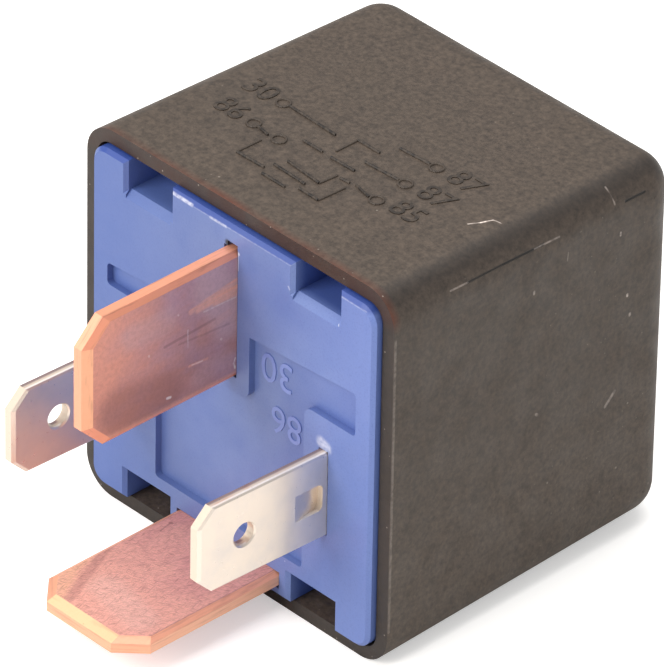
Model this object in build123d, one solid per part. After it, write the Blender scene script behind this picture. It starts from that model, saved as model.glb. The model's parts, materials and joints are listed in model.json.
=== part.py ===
from build123d import *
from math import cos, radians, sin, sqrt, tan
import os

# Plug-in power relay with four flat blades, lying on one side.
# X runs along the terminal face, Y goes into the cover and Z is up.
# Sizes are worked out from the cover's rim, which is the plane y = 0.

# cover, one moulding
cover_side = 28.0
cover_depth = 25.2
cover_wall = 1.0
cover_end_wall = 1.2
cover_draft = 1.0
cover_corner = 2.4
hollow_round = 1.2

# base, one moulding
base_fit = 0.1
base_proud = 0.62
base_thick = 3.6
base_corner = 1.3
base_edge = 0.25
notch_wide = 4.1
notch_high = 2.2
notch_deep = 3.0
notch_centre = 7.65
notch_lip = 0.5
recess_deep = 0.5
recess_edge = 1.5
recess_round = 0.3
boss_round = 0.75
recess_top_left = 4.5
recess_top_right = 6.1
boss_top = 2.9
boss_inner = 6.8
strip_high = 3.45
slot_boss = 1.16
slot_gap_wide = 0.9
lug_proud = 0.35
lug_long = 1.0
lug_high = 4.0
lug_apart = 12.0
lug_back = 1.4
rib_wide = 0.8
rib_tall = 1.4
rib_long = 5.0
rib_apart = 11.0

# fits between pieces
slot_clear = 0.03
slot_end_clear = 0.4
seat_clear = 0.05
part_gap = 0.3

# blades, 9.5 mm for the switched circuit and 6.3 mm for the coil
big_wide = 9.5
big_thick = 1.2
big_corner = 1.75
big_tip_bevel = 0.75
big_side_bevel = 0.4
big_bevel_drop = 0.25
small_wide = 6.3
small_thick = 0.8
small_corner = 1.2
small_tip_bevel = 0.3
small_side_bevel = 0.12
small_bevel_drop = 0.1
reach_30 = 13.4
reach_87 = 13.3
reach_coil = 11.15
top_inset_30 = 2.7
height_87 = 2.4
coil_below_mid = 2.7
side_inset_coil = 4.3
blade_lean = 2.3
hole_dia = 1.65
hole_from_tip = 3.8
hole_bevel = 0.1
lance_from_base = 0.35
lance_long = 2.25
lance_high = 2.0
lance_deep = 0.5
lance_round = 0.4
shoulder_wide = 0.4
shoulder_back = 1.8

# inner ends of the terminals
tail_30_high = 2.0
tail_30_long = 9.0
tail_round = 0.5
tail_87_wide = 7.0
bend_radius = 0.4
tail_coil_high = 2.2
tail_coil_long = 7.6
neck_from_base = 3.2
neck_long = 1.2
neck_cut = 0.5

# magnet
core_share = 0.44
core_step = 0.6
core_fit = 0.05
head_over = 1.5
head_thick = 0.95
head_edge = 0.25
bobbin_wall = 0.85
flange_over = 0.5
flange_thick = 1.0
flange_round = 1.5
flange_past_yoke = 0.3
yoke_thick = 1.5
yoke_side_gap = 1.2
yoke_foot_low = 5.0
yoke_lug_wide = 1.6
yoke_lug_long = 1.2
arm_gap = 0.3
tail_gap = 0.8
end_gap = 1.14

# armature and contacts
armature_thick = 1.4
armature_inset = 0.5
armature_above = 0.8
armature_over = 0.6
armature_air = 0.05
armature_angle = 3.6
notch_fit = 0.15
leaf_thick = 0.3
leaf_inset = 3.0
leaf_below_hinge = 4.5
leaf_round = 0.8
leaf_margin = 0.3
contact_dia = 3.0
contact_thick = 1.1
contact_above_tail = 1.3
contact_air = 0.03
contact_stem_dia = 1.4
contact_back = 0.5
contact_back_dia = 2.2
contact_edge = 0.25
rivet_dia = 1.2
rivet_head_dia = 1.9
rivet_head = 0.4
spring_rivet_drop = 2.5
leaf_rivet_inset = 1.3
leaf_rivet_rise = 1.1
rivet_fit = 0.03

# return spring
spring_thick = 0.25
spring_leg = 3.0
spring_tail_up = 1.6
spring_tail_down = 1.4
spring_loop = 1.3
spring_bend = 0.55
spring_slope = 1.85
spring_rise_back = 0.65
spring_past_leaf = 1.0
spring_bridge = 1.5
yoke_rivet_from_base = 7.0

# stop
stop_thick = 0.8
stop_high = 3.0
stop_side_gap = 0.3
stop_over = 2.7
stop_air = 0.08
stop_lug = 1.2

# braid
braid_thick = 0.6
braid_wide = 2.4
braid_on_tail = 4.5
braid_turn = 2.4
braid_slack = 1.8
braid_on_leaf = 4.0
braid_land_gap = 0.2

# resistor
resistor_dia = 2.3
resistor_long = 6.2
resistor_edge = 0.4
resistor_from_base = 6.0
lead_dia = 0.6
lead_bend = 0.9
wire_dia = 0.35
wire_pitch = 0.4
wire_turns = 3
wire_notch = 0.7

# how near two edges are the same
same = 0.0001

# derived places, across and up
mid_z = cover_side / 2
base_half = cover_side / 2 - cover_wall - base_fit
height_30 = cover_side - top_inset_30 - big_wide / 2
tail_top = height_30 + big_wide / 2
height_coil = mid_z - coil_below_mid
spread_coil = base_half - side_inset_coil
contact_height = height_87 + big_thick / 2 + contact_above_tail
bracket_top = contact_height + contact_dia / 2
yoke_out = tail_top - tail_30_high - tail_gap
yoke_in = yoke_out - yoke_thick
yoke_wide = 2 * (spread_coil - small_thick / 2 - yoke_side_gap)
flange_top = yoke_in - arm_gap
flange_bottom = bracket_top + part_gap
flange_tall = flange_top - flange_bottom
flange_wide = yoke_wide + 2 * flange_past_yoke
core_height = (flange_top + flange_bottom) / 2
coil_dia = min(flange_tall, flange_wide) - 2 * flange_over
core_dia = core_share * coil_dia
core_stub_dia = core_dia - 2 * core_step
tube_dia = core_dia + 2 * (core_fit + bobbin_wall)
hinge_z = yoke_out
armature_wide = yoke_wide - 2 * armature_inset
armature_low = bracket_top + armature_above
leaf_wide = armature_wide - 2 * leaf_inset
leaf_top = hinge_z - leaf_below_hinge
leaf_rivet_x = leaf_wide / 2 - leaf_rivet_inset
leaf_rivet_z = armature_low + leaf_rivet_rise
spring_rivet_x = armature_wide / 2 - rivet_head_dia / 2 - armature_inset - yoke_lug_wide / 2
spring_rivet_z = hinge_z - spring_rivet_drop
stop_side = flange_wide / 2 + stop_side_gap + stop_thick / 2
stop_low = flange_bottom + stop_side_gap
resistor_z = height_87 + big_thick / 2 + part_gap + resistor_dia / 2

# derived places, into the cover
base_front = -base_proud
base_back = base_front + base_thick
seat_y = base_back - shoulder_back
foot_back = base_back + yoke_thick
flange_low = foot_back
coil_low = flange_low + flange_thick
cover_inside = cover_depth - cover_end_wall
leaf_lean = leaf_below_hinge * sin(radians(armature_angle))
braid_room = leaf_lean + braid_thick + braid_slack + end_gap
pole_y = cover_inside - braid_room - leaf_thick - armature_thick - armature_air
flange_high = pole_y - head_thick
coil_high = flange_high - flange_thick
armature_y = pole_y + armature_air
armature_back = armature_y + armature_thick
leaf_back = armature_back + leaf_thick
moving_face = armature_back - contact_thick
fixed_face = moving_face - contact_air
bracket_back = fixed_face - contact_thick
bracket_front = bracket_back - big_thick
tail_30_end = base_back + tail_30_long
tail_coil_end = base_back + tail_coil_long
neck_start = base_back + neck_from_base
yoke_rivet_y = base_back + yoke_rivet_from_base
resistor_y = base_back + resistor_from_base
centre_y = (cover_depth - reach_30) / 2


def block(x0, x1, y0, y1, z0, z1):
    """A box between two corners."""
    size = Box(x1 - x0, y1 - y0, z1 - z0)
    return Pos((x0 + x1) / 2, (y0 + y1) / 2, (z0 + z1) / 2) * size


def slab_yz(points, x0, x1):
    """An outline in Y and Z, as thick as from x0 to x1."""
    return extrude(Plane.YZ.offset(x0) * make_face(Polyline(*points, close=True)), amount=x1 - x0)


def deepened(face, y0, y1):
    """A face drawn in X and Z, as deep as from y0 to y1."""
    return extrude(Plane.XZ.offset(-y0) * face, amount=y0 - y1)


def slab_xz(points, y0, y1):
    """An outline in X and Z, as deep as from y0 to y1."""
    return deepened(make_face(Polyline(*points, close=True)), y0, y1)


def rod_y(dia, y0, y1, x=0, z=0):
    """A round rod along Y."""
    return Pos(x, (y0 + y1) / 2, z) * Rot(90, 0, 0) * Cylinder(dia / 2, y1 - y0)


def rod_x(dia, x0, x1, y, z):
    """A round rod along X."""
    return Pos((x0 + x1) / 2, y, z) * Rot(0, 90, 0) * Cylinder(dia / 2, x1 - x0)


def opened(piece):
    """A piece of the armature, swung from the pole to where it rests."""
    hinge = Axis((0, armature_y, hinge_z), (1, 0, 0))
    return piece.rotate(hinge, armature_angle)


def opened_point(y, z):
    """A point of the armature's frame, where it is at rest."""
    turn = radians(armature_angle)
    dy = y - armature_y
    dz = z - hinge_z
    return (armature_y + dy * cos(turn) - dz * sin(turn), hinge_z + dy * sin(turn) + dz * cos(turn))


def long_edges(body, depth):
    """The four edges that run into the depth."""
    return [edge for edge in body.edges() if edge.bounding_box().size.Y > depth - same]


def edges_at(body, y, z):
    """The edges along X at this Y and Z."""
    def is_near(edge):
        middle = edge.center()
        return abs(middle.Y - y) < same and abs(middle.Z - z) < same

    return [edge for edge in body.edges().filter_by(Axis.X) if is_near(edge)]


def cup(half, depth, lead=0.0):
    """A square body that narrows to its far end; it starts a lead before y = 0."""
    slope = tan(radians(cover_draft))
    near = half + lead * slope
    far = half - depth * slope
    side = make_face(Polyline((-near, -lead), (near, -lead), (far, depth), (-far, depth), close=True))
    across = Pos(0, 0, mid_z - near) * extrude(side, amount=2 * near)
    upright = Pos(-near, 0, mid_z) * Rot(0, 90, 0) * extrude(side, amount=2 * near)
    return across & upright


def cover():
    """Shell with drafted walls and four pockets for the base's lugs."""
    outside = cup(cover_side / 2, cover_depth)
    end_edges = outside.faces().sort_by(Axis.Y)[-1].edges()
    outside = fillet(list(end_edges) + long_edges(outside, cover_depth), cover_corner)
    inside_half = cover_side / 2 - cover_wall
    hollow = cup(inside_half, cover_inside, cover_wall)
    shell = outside - fillet(long_edges(hollow, cover_inside), hollow_round)
    for side in (-1, 1):
        for level in (-1, 1):
            x = side * inside_half
            z = mid_z + level * lug_apart / 2
            half_high = lug_high / 2 + base_fit
            shell -= block(x - lug_proud, x + lug_proud, lug_back - base_fit, lug_back + lug_long + base_fit,
                           z - half_high, z + half_high)
    return shell


def recess():
    """The sunk middle of the base's face, round the bosses that hold the blades."""
    edge = base_half - recess_edge
    low = strip_high + cover_wall
    ledge = mid_z + boss_top
    outline = [(-edge, mid_z + recess_top_left), (-edge, ledge), (-boss_inner, ledge), (-boss_inner, low),
               (boss_inner, low), (boss_inner, ledge), (edge, ledge), (edge, mid_z + recess_top_right)]
    face = make_face(Polyline(*outline, close=True))
    outer = [v for v in face.vertices() if abs(v.X) > edge - same or v.Y < low + same]
    face = fillet(outer, recess_round)
    inner = [v for v in face.vertices() if abs(abs(v.X) - boss_inner) < same and v.Y > ledge - same]
    face = fillet(inner, boss_round)
    sunk = deepened(face, base_front, base_front + recess_deep)
    boss_half = big_thick / 2 + slot_boss
    boss_low = height_30 - big_wide / 2 - slot_boss
    boss = block(-boss_half, boss_half, base_front, base_front + recess_deep, boss_low, cover_side)
    return sunk - fillet(boss.edges().filter_by(Axis.Y).group_by(Axis.Z)[0], boss_round)


def slot(width, thick, x, z, flat=False):
    """A blade's way through the base, wider where the shoulder seats."""
    end = width / 2 + slot_clear
    half = thick / 2 + slot_clear
    step = shoulder_wide + slot_clear
    if flat:
        thin = block(x - end, x + end, base_front, seat_y, z - half, z + half)
        return thin + block(x - end - step, x + end + step, seat_y, base_back, z - half, z + half)
    thin = block(x - half, x + half, base_front, seat_y, z - end, z + end)
    return thin + block(x - half, x + half, seat_y, base_back, z - end - step, z + end + step)


def base_plate():
    """Plate with rounded corners, a notch near each corner and a bevel round its face."""
    low, high = mid_z - base_half, mid_z + base_half
    plate = block(-base_half, base_half, base_front, base_back, low, high)
    plate = fillet(plate.edges().filter_by(Axis.Y), base_corner)
    for side in (-1, 1):
        x0 = side * notch_centre - notch_wide / 2
        for z0 in (low, high - notch_high):
            plate -= block(x0, x0 + notch_wide, base_front, base_front + notch_deep, z0, z0 + notch_high)
    plate = chamfer(plate.faces().sort_by(Axis.Y)[0].edges(), base_edge)
    lip_z = high - notch_high
    lip = [(base_front, lip_z - notch_lip), (base_front + notch_lip, lip_z), (base_front, lip_z)]
    for side in (-1, 1):
        x0 = side * notch_centre - notch_wide / 2
        plate -= slab_yz(lip, x0, x0 + notch_wide)
    return plate


def lug(side, level):
    """A bevelled lug on the plate's edge that snaps into the cover's pocket."""
    z = mid_z + level * lug_apart / 2
    edge = side * base_half
    tip = edge + side * lug_proud
    outline = [(edge, z - lug_high / 2), (tip, z - lug_high / 2 + lug_proud),
               (tip, z + lug_high / 2 - lug_proud), (edge, z + lug_high / 2)]
    return slab_xz(outline, lug_back, lug_back + lug_long)


def yoke_rib(side, level):
    """A rib behind the plate that keeps the yoke's foot from turning."""
    x = side * (yoke_wide / 2 + seat_clear + rib_wide / 2)
    z = core_height + level * rib_apart / 2
    rib = Box(rib_wide, rib_tall, rib_long)
    return Pos(x, base_back + rib_tall / 2, z) * rib


def base():
    """Plate with its sunk middle, blade slots, lugs and ribs."""
    body = base_plate() - recess()
    for side in (-1, 1):
        body -= slot(small_wide, small_thick, side * spread_coil, height_coil)
        for level in (-1, 1):
            body += lug(side, level)
            body += yoke_rib(side, level)
    body -= slot(big_wide, big_thick, 0, height_30)
    body -= slot(big_wide, big_thick, 0, height_87, flat=True)
    half = big_thick / 2
    return body - block(half - slot_gap_wide, half, base_front, seat_y, tail_top, tail_top + slot_end_clear)


def blade(width, thick, reach, corner, tip_bevel, side_bevel, drop):
    """A flat blade along -Y from the base's face, with cut corners and bevels all round."""
    def outline(tip_in, side_in):
        half = width / 2 - side_in
        tip = reach - tip_in
        cut = (tip_in + side_in) / sqrt(2)
        tip_half = width / 2 - corner + tip_in - cut
        shoulder = reach - corner + side_in - cut
        lower = [(0, -half), (-shoulder, -half), (-tip, -tip_half)]
        return lower + [(y, -z) for y, z in reversed(lower)]

    full = make_face(Polyline(*outline(0, 0), close=True))
    small = make_face(Polyline(*outline(tip_bevel, side_bevel), close=True))
    flat = thick / 2 - drop
    body = extrude(Plane.YZ.offset(-flat) * full, amount=2 * flat)
    for side in (-1, 1):
        body += loft([Plane.YZ.offset(side * flat) * full, Plane.YZ.offset(side * thick / 2) * small])
    return body


def strip(width, thick, side_bevel, drop):
    """The blade's bevelled section, from the base's face back to the shoulder's seat."""
    x0, x1 = thick / 2 - drop, thick / 2
    z0, z1 = width / 2 - side_bevel, width / 2
    corner = [(x1, z0), (x0, z1), (-x0, z1), (-x1, z0), (-x1, -z0), (-x0, -z1), (x0, -z1), (x1, -z0)]
    return slab_xz(corner, 0, seat_y - base_front)


def big_blade(reach):
    """The 9.5 mm blade, standing out of the base's face by its reach."""
    long = reach - base_proud
    body = blade(big_wide, big_thick, long, big_corner, big_tip_bevel, big_side_bevel, big_bevel_drop)
    return body + strip(big_wide, big_thick, big_side_bevel, big_bevel_drop)


def lance(shift):
    """The slanting pocket pressed in the narrow blade; shifted, it is what stands out behind."""
    near = -lance_from_base
    wedge = [(shift, near), (shift - lance_deep, near), (shift, near - lance_long)]
    plan = make_face(Polyline(*wedge, close=True))
    body = extrude(Plane.XY.offset(-lance_high / 2) * plan, amount=lance_high)
    return fillet(body.edges().filter_by(Axis.X), lance_round)


def small_blade():
    """The 6.3 mm blade with its detent hole and lance, leaning a little outside the base."""
    long = reach_coil - base_proud
    bevels = (small_tip_bevel, small_side_bevel, small_bevel_drop)
    body = blade(small_wide, small_thick, long, small_corner, *bevels)
    hole_y = hole_from_tip - long
    body -= rod_x(hole_dia, -small_thick, small_thick, hole_y, 0)
    for side in (-1, 1):
        cone = Rot(0, side * 90, 0) * Cone(hole_dia / 2, hole_dia / 2 + hole_bevel, hole_bevel)
        body -= Pos(side * (small_thick - hole_bevel) / 2, hole_y, 0) * cone
    body = body - lance(small_thick / 2) + lance(-small_thick / 2)
    return Rot(0, 0, -blade_lean) * body + strip(small_wide, small_thick, small_side_bevel, small_bevel_drop)


def terminal_30():
    """Upper blade, with a shoulder behind the base and a tail for the braid."""
    half = big_thick / 2
    low = tail_top - big_wide
    body = Pos(0, base_front, height_30) * big_blade(reach_30)
    body += block(-half, half, seat_y, base_back, low - shoulder_wide, tail_top + shoulder_wide)
    tail = block(-half, half, base_back, tail_30_end, tail_top - tail_30_high, tail_top)
    return body + fillet(tail.edges().filter_by(Axis.X).group_by(Axis.Y)[-1], tail_round)


def terminal_87():
    """Lower blade, whose tail runs under the coil and turns up behind the contact."""
    half = big_thick / 2
    low = height_87 - half
    high = height_87 + half
    shoulder = big_wide / 2 + shoulder_wide
    tail = tail_87_wide / 2
    body = Pos(0, base_front, height_87) * Rot(0, 90, 0) * big_blade(reach_87)
    body += block(-shoulder, shoulder, seat_y, base_back, low, high)
    leg = block(-tail, tail, base_back, bracket_back, low, high)
    up = block(-tail, tail, bracket_front, bracket_back, low, bracket_top)
    angle = fillet(edges_at(leg + up, bracket_front, high), bend_radius)
    body += fillet(edges_at(angle, bracket_back, low), bend_radius + big_thick)
    stem = contact_stem_dia + 2 * rivet_fit
    return body - rod_y(stem, bracket_front, bracket_back, 0, contact_height)


def coil_terminal(side):
    """Side blade with a tail along the coil, necked where the coil wire is wound on."""
    x = side * spread_coil
    half = small_thick / 2
    low = height_coil - small_wide / 2
    high = height_coil + small_wide / 2
    body = Pos(x, base_front, height_coil) * small_blade()
    body += block(x - half, x + half, seat_y, base_back, low - shoulder_wide, high + shoulder_wide)
    top = core_height + tail_coil_high / 2
    bottom = core_height - tail_coil_high / 2
    body += block(x - half, x + half, base_back, tail_coil_end, bottom, top)
    neck = Box(2 * small_thick, neck_long, 2 * neck_cut)
    for z in (bottom, top):
        body -= Pos(x, neck_start + neck_long / 2, z) * neck
    return body


def core():
    """Turned pin: a stub staked in the yoke, a shank and a pole head."""
    stub = rod_y(core_stub_dia, base_back + seat_clear, foot_back, 0, core_height)
    shank = rod_y(core_dia, foot_back, flange_high, 0, core_height)
    head = rod_y(core_dia + 2 * head_over, flange_high, pole_y, 0, core_height)
    head = chamfer(head.edges().group_by(Axis.Y)[-1], head_edge)
    return stub + shank + head


def bobbin():
    """Tube between two flanges, with wire notches and a lug for the stop."""
    body = rod_y(tube_dia, coil_low, coil_high, 0, core_height)
    half = flange_wide / 2
    for y in (flange_low, coil_high):
        flange = block(-half, half, y, y + flange_thick, flange_bottom, flange_top)
        body += fillet(flange.edges().filter_by(Axis.Y), flange_round)
    lug_low = stop_low - stop_lug
    lug_high = stop_low + stop_high + stop_lug
    reach = stop_side + stop_thick / 2 + stop_lug
    body += block(half - flange_round, reach, coil_high, flange_high, lug_low, lug_high)
    thick = stop_thick / 2 + seat_clear
    body -= block(stop_side - thick, stop_side + thick, coil_high, flange_high,
                  stop_low - seat_clear, stop_low + stop_high + seat_clear)
    for side in (-1, 1):
        x = side * half
        body -= block(x - wire_notch, x + wire_notch, flange_low, coil_low,
                      core_height - wire_notch / 2, core_height + wire_notch / 2)
    return body - rod_y(core_dia + 2 * core_fit, flange_low, flange_high, 0, core_height)


def coil_winding():
    """The wound copper, as a ring between the flanges."""
    ring = rod_y(coil_dia, coil_low, coil_high, 0, core_height)
    return ring - rod_y(tube_dia, coil_low, coil_high, 0, core_height)


def yoke():
    """Bent strip: a foot under the coil and an arm whose end carries the armature."""
    half = yoke_wide / 2
    foot = block(-half, half, base_back, foot_back, core_height - yoke_foot_low, yoke_out)
    arm = block(-half, half, base_back, pole_y, yoke_in, yoke_out)
    body = foot + arm
    body = fillet(edges_at(body, base_back, yoke_out), yoke_thick)
    for side in (-1, 1):
        x0, x1 = sorted((side * half, side * (half - yoke_lug_wide)))
        body += block(x0, x1, pole_y, pole_y + yoke_lug_long, yoke_in, yoke_out)
    body -= rod_y(core_stub_dia + 2 * rivet_fit, base_back, foot_back, 0, core_height)
    for x in (-spring_rivet_x, spring_rivet_x):
        shank = Cylinder(rivet_dia / 2 + rivet_fit, yoke_thick)
        body -= Pos(x, yoke_rivet_y, yoke_out - yoke_thick / 2) * shank
    return body


def rivet(grip):
    """A rivet along Z, flush at 0, with its head beyond the grip."""
    shank = Pos(0, 0, grip / 2) * Cylinder(rivet_dia / 2, grip)
    return shank + Pos(0, 0, grip + rivet_head / 2) * Cylinder(rivet_head_dia / 2, rivet_head)


def rivet_places():
    """X, Z and sheet thickness of the four rivets in the armature."""
    springs = [(side * spring_rivet_x, spring_rivet_z, spring_thick) for side in (-1, 1)]
    return springs + [(side * leaf_rivet_x, leaf_rivet_z, leaf_thick) for side in (-1, 1)]


def armature():
    """Flat plate on the end of the yoke, cut away beside the yoke's lugs."""
    half = armature_wide / 2
    top = hinge_z + armature_over
    side = yoke_wide / 2 - yoke_lug_wide - notch_fit
    low = yoke_in - notch_fit - armature_thick / 2
    outline = [(-half, armature_low), (half, armature_low), (half, low), (side, low), (side, top),
               (-side, top), (-side, low), (-half, low)]
    plate = slab_xz(outline, armature_y, armature_back)
    bottom = plate.edges().filter_by(Axis.Y).group_by(Axis.Z)[0]
    plate = fillet(bottom, flange_round)
    for x, z, _ in rivet_places():
        plate -= rod_y(rivet_dia + 2 * rivet_fit, armature_y, armature_back, x, z)
    return opened(plate)


def contact_spring():
    """Leaf on the armature's back that carries the moving contact below its rivets."""
    half = leaf_wide / 2
    low = contact_height - contact_dia / 2 - leaf_margin
    leaf = block(-half, half, armature_back, leaf_back, low, leaf_top)
    leaf = fillet(leaf.edges().filter_by(Axis.Y), leaf_round)
    for x in (-leaf_rivet_x, leaf_rivet_x):
        leaf -= rod_y(rivet_dia + 2 * rivet_fit, armature_back, leaf_back, x, leaf_rivet_z)
    leaf -= rod_y(contact_stem_dia + 2 * rivet_fit, armature_back, leaf_back, 0, contact_height)
    return opened(leaf)


def contact_rivet(grip, headed):
    """A contact along Y: its face at y = 0 and a stem through the grip, headed or flush."""
    face = rod_y(contact_dia, 0, contact_thick)
    face = chamfer(face.edges().group_by(Axis.Y)[0], contact_edge)
    stem = rod_y(contact_stem_dia, contact_thick, contact_thick + grip)
    if not headed:
        return face + stem
    back_y = contact_thick + grip
    return face + stem + rod_y(contact_back_dia, back_y, back_y + contact_back)


def moving_contact():
    """Contact on the leaf's end, its face towards the fixed one."""
    return opened(Pos(0, moving_face, contact_height) * contact_rivet(leaf_thick, True))


def fixed_contact():
    """Contact in the upturned end of the lower terminal."""
    return Pos(0, fixed_face, contact_height) * Rot(0, 0, 180) * contact_rivet(big_thick, False)


def armature_rivets():
    """Two rivets for the return spring and two for the contact spring."""
    pair = Part()
    for x, z, sheet in rivet_places():
        pair += opened(Pos(x, armature_y, z) * Rot(-90, 0, 0) * rivet(armature_thick + sheet))
    return pair


def yoke_rivets():
    """Two rivets that hold the return spring on the yoke."""
    grip = yoke_thick + spring_thick
    pair = Part()
    for x in (-spring_rivet_x, spring_rivet_x):
        pair += Pos(x, yoke_rivet_y, yoke_in) * rivet(grip)
    return pair


def return_spring():
    """Forked leaf from the yoke's arm, over the hinge and down the armature's back."""
    mid = spring_thick / 2
    flat_z = yoke_out + mid
    start = yoke_rivet_y - spring_leg
    crest_z = flat_z + spring_loop + armature_over
    crest_y = leaf_back + spring_past_leaf
    end_top = opened_point(armature_back + mid, spring_rivet_z + spring_tail_up)
    end_low = opened_point(armature_back + mid, spring_rivet_z - spring_tail_down)
    rise_y = pole_y - spring_rise_back
    path = FilletPolyline((start, flat_z), (rise_y - spring_slope, flat_z), (rise_y, crest_z),
                          (crest_y, crest_z), end_top, end_low, radius=spring_bend)
    side_view = trace(path, line_width=spring_thick)
    body = Part()
    inner = spring_rivet_x - spring_leg / 2
    for x in (-inner - spring_leg, inner):
        body += extrude(Plane.YZ.offset(x) * side_view, amount=spring_leg)
    body += block(-inner, inner, start, start + spring_bridge, yoke_out, yoke_out + spring_thick)
    hole_wide = rivet_dia + 2 * rivet_fit
    sheet_back = armature_back + spring_thick
    for x in (-spring_rivet_x, spring_rivet_x):
        body -= Pos(x, yoke_rivet_y, flat_z) * Cylinder(hole_wide / 2, spring_thick)
        body -= opened(rod_y(hole_wide, armature_back, sheet_back, x, spring_rivet_z))
    return body


def stop_bracket():
    """Strip in the bobbin's lug that reaches across behind the armature."""
    half = stop_thick / 2
    back_y = opened_point(armature_back, stop_low)[0] + stop_air
    low, high = stop_low, stop_low + stop_high
    leg = block(stop_side - half, stop_side + half, coil_high, back_y + stop_thick, low, high)
    bar = block(armature_wide / 2 - stop_over, stop_side + half, back_y, back_y + stop_thick, low, high)
    body = leg + bar
    outer = body.edges().filter_by(Axis.Z).sort_by(Axis.Y).group_by(Axis.X)[-1].sort_by(Axis.Y)[-1]
    return fillet(outer, stop_thick)


def copper_braid():
    """Flat copper braid from the top of the upper terminal's tail to the contact spring's back."""
    z0 = tail_top + braid_thick / 2
    land = leaf_top + braid_land_gap
    down = opened_point(leaf_back + braid_thick / 2, land)
    end = opened_point(leaf_back + braid_thick / 2, land - braid_on_leaf)
    start = (tail_30_end - braid_on_tail, z0)
    path = FilletPolyline(start, (down[0] + braid_slack, z0), down, end, radius=braid_turn)
    side_view = trace(path, line_width=braid_thick)
    return extrude(Plane.YZ.offset(-braid_wide / 2) * side_view, amount=braid_wide)


def resistor_body():
    """Small moulded resistor that lies across under the coil."""
    body = rod_x(resistor_dia, -resistor_long / 2, resistor_long / 2, resistor_y, resistor_z)
    return chamfer(body.edges().filter_by(GeomType.CIRCLE), resistor_edge)


def resistor_lead(side):
    """Wire from the resistor's end, bent up to a coil terminal's tail."""
    x0, x1 = side * resistor_long / 2, side * spread_coil
    top = core_height - tail_coil_high / 2
    path = Polyline((x0, resistor_y, resistor_z), (x1 - side * lead_bend, resistor_y, resistor_z),
                    (x1, resistor_y, resistor_z + lead_bend), (x1, resistor_y, top))
    start = Plane(origin=path @ 0, z_dir=path % 0)
    return sweep(start * Circle(lead_dia / 2), path=path, transition=Transition.RIGHT)


def coil_lead(side):
    """Coil wire out to a terminal's neck, wound on it."""
    x = side * spread_coil
    inner_x = small_thick / 2 + slot_clear
    inner_z = tail_coil_high / 2 - neck_cut + slot_clear
    body = Part()
    ring = Rectangle(2 * (inner_x + wire_dia), 2 * (inner_z + wire_dia))
    ring = chamfer(ring.vertices(), wire_dia) - Rectangle(2 * inner_x, 2 * inner_z)
    first = neck_start + (neck_long - wire_pitch * (wire_turns - 1)) / 2
    for turn in range(wire_turns):
        y = first + turn * wire_pitch - wire_dia / 2
        body += extrude(Plane.XZ.offset(-y) * Pos(x, core_height) * ring, amount=-wire_dia)
    side_x = x - side * (inner_x + wire_dia / 2)
    last = first + wire_pitch * (wire_turns - 1)
    body += rod_y(wire_dia, first, last, side_x, core_height)
    start = side * (coil_dia / 2 + seat_clear)
    x0, x1 = sorted((start, side_x))
    return body + rod_x(wire_dia, x0, x1, first, core_height)


def build():
    """Every piece by its name."""
    return {
        "cover": cover(),
        "base": base(),
        "terminal_30": terminal_30(),
        "terminal_87": terminal_87(),
        "terminal_85": coil_terminal(-1),
        "terminal_86": coil_terminal(1),
        "core": core(),
        "bobbin": bobbin(),
        "coil_winding": coil_winding(),
        "coil_lead_85": coil_lead(-1),
        "coil_lead_86": coil_lead(1),
        "yoke": yoke(),
        "armature": armature(),
        "armature_rivets": armature_rivets(),
        "contact_spring": contact_spring(),
        "moving_contact": moving_contact(),
        "fixed_contact": fixed_contact(),
        "return_spring": return_spring(),
        "yoke_rivets": yoke_rivets(),
        "copper_braid": copper_braid(),
        "stop_bracket": stop_bracket(),
        "resistor_body": resistor_body(),
        "resistor_lead_85": resistor_lead(-1),
        "resistor_lead_86": resistor_lead(1),
    }


os.makedirs("parts", exist_ok=True)
for name, shape in build().items():
    export_step(Pos(0, -centre_y, 0) * shape, f"parts/{name}.step")
    print(name, round(shape.volume, 2))
print("hinge", armature_y - centre_y, hinge_z)
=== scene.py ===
import json
import math

import bmesh
import bpy
from mathutils import Matrix, Vector


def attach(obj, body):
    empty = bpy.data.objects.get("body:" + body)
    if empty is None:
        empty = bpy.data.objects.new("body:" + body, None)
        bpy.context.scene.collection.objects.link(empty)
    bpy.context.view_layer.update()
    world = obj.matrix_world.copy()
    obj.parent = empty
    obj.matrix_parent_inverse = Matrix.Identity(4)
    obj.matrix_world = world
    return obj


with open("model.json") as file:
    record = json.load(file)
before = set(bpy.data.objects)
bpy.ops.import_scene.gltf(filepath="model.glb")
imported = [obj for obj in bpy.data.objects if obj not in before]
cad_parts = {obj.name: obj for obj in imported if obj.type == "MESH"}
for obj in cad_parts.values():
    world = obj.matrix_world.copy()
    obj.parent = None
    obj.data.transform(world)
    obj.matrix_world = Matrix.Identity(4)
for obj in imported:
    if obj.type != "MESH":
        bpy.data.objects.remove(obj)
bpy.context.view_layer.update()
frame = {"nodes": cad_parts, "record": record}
nodes = frame["nodes"]
mm = 0.001
draftAngle = math.radians(1.0)
form = {"half": 14.0, "top": 28.0, "rimY": -5.9, "round": 2.4, "draft": math.tan(draftAngle),
        "sunkY": -6.02, "face30": 0.6, "face87": 3.0}  # the cover, base and wide blades, in mm
print("frame loaded")


def onTop(x, y, lift=0.0):  # a place on the cover's upper face
    return x, y, form["top"] - (y - form["rimY"]) * form["draft"] + lift


def onSide(y, z):  # a place on the cover's right face or the round edge over it
    inset = (y - form["rimY"]) * form["draft"]
    over = z - (form["top"] - form["round"] - inset)
    if over <= 0:
        return form["half"] - inset, y, z
    return form["half"] - form["round"] - inset + math.sqrt(form["round"] ** 2 - over ** 2), y, z


def on30(y, z):  # a place on the upright blade's right face
    return form["face30"], y, z


def on87(x, y):  # a place on the lying blade's upper face
    return x, y, form["face87"]


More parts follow.
